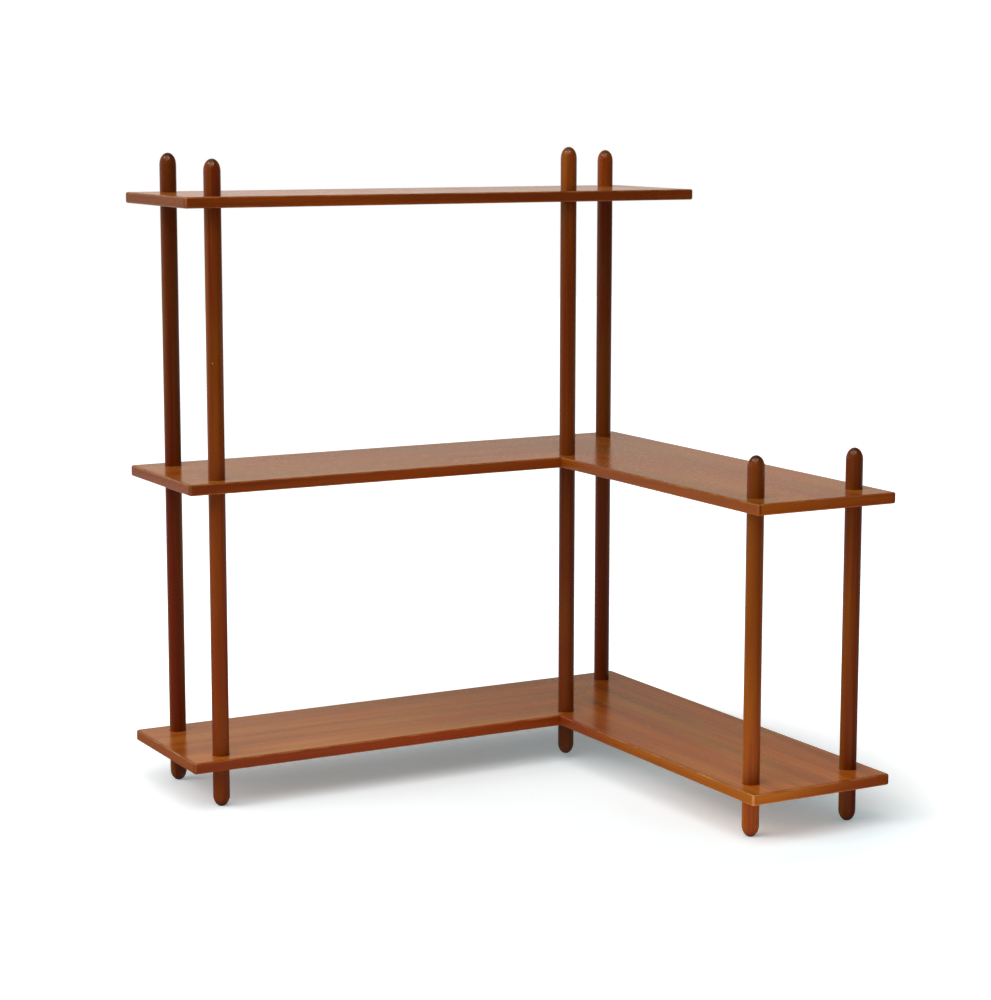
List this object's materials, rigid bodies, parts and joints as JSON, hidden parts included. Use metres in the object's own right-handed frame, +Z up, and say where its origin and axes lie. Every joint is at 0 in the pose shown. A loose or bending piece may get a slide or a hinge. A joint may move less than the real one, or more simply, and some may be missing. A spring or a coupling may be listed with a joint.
{
  "type": "corner shelving unit",
  "caption": "Free-standing L-shaped corner shelving unit with flat teak boards on round posts that have rounded feet and tips; its left run is taller than its right run.",
  "frame": {"origin": "on the floor, under the middle of the unit's overall box", "axes": "+Z up; the left run lies along X with its wall side at +Y; the right run comes forward along -Y at the +X end"},
  "size_m": [0.895, 0.81, 1.011],
  "materials": {
    "veneer": "teak veneer, satin varnish",
    "lipping": "solid teak edge, satin varnish",
    "post": "turned solid teak, satin varnish",
    "steel": "plain steel screw",
    "beech": "bare beech dowel"
  },
  "bodies": {
    "root": {"top_panel": "veneer", "top_front_lipping": "lipping", "top_rear_lipping": "lipping", "top_left_lipping": "lipping", "top_right_lipping": "lipping", "middle_left_panel": "veneer", "middle_left_front_lipping": "lipping", "middle_left_rear_lipping": "lipping", "middle_left_end_lipping": "lipping", "middle_right_panel": "veneer", "middle_right_inner_lipping": "lipping", "middle_right_outer_lipping": "lipping", "middle_right_end_lipping": "lipping", "bottom_left_panel": "veneer", "bottom_left_front_lipping": "lipping", "bottom_left_rear_lipping": "lipping", "bottom_left_end_lipping": "lipping", "bottom_right_panel": "veneer", "bottom_right_inner_lipping": "lipping", "bottom_right_outer_lipping": "lipping", "bottom_right_end_lipping": "lipping", "post_left_rear": "post", "post_left_front": "post", "post_corner_inner": "post", "post_corner_outer": "post", "post_right_inner": "post", "post_right_outer": "post", "top_left_rear_screw": "steel", "top_left_front_screw": "steel", "top_corner_inner_screw": "steel", "top_corner_outer_screw": "steel", "middle_left_left_rear_screw": "steel", "middle_left_left_front_screw": "steel", "middle_left_corner_inner_screw": "steel", "middle_left_corner_outer_screw": "steel", "middle_right_right_inner_screw": "steel", "middle_right_right_outer_screw": "steel", "middle_right_corner_inner_screw": "steel", "middle_right_corner_outer_screw": "steel", "bottom_left_left_rear_screw": "steel", "bottom_left_left_front_screw": "steel", "bottom_left_corner_inner_screw": "steel", "bottom_left_corner_outer_screw": "steel", "bottom_right_right_inner_screw": "steel", "bottom_right_right_outer_screw": "steel", "bottom_right_corner_inner_screw": "steel", "bottom_right_corner_outer_screw": "steel", "middle_inner_dowel": "beech", "middle_outer_dowel": "beech", "bottom_inner_dowel": "beech", "bottom_outer_dowel": "beech"}
  },
  "joints": []
}
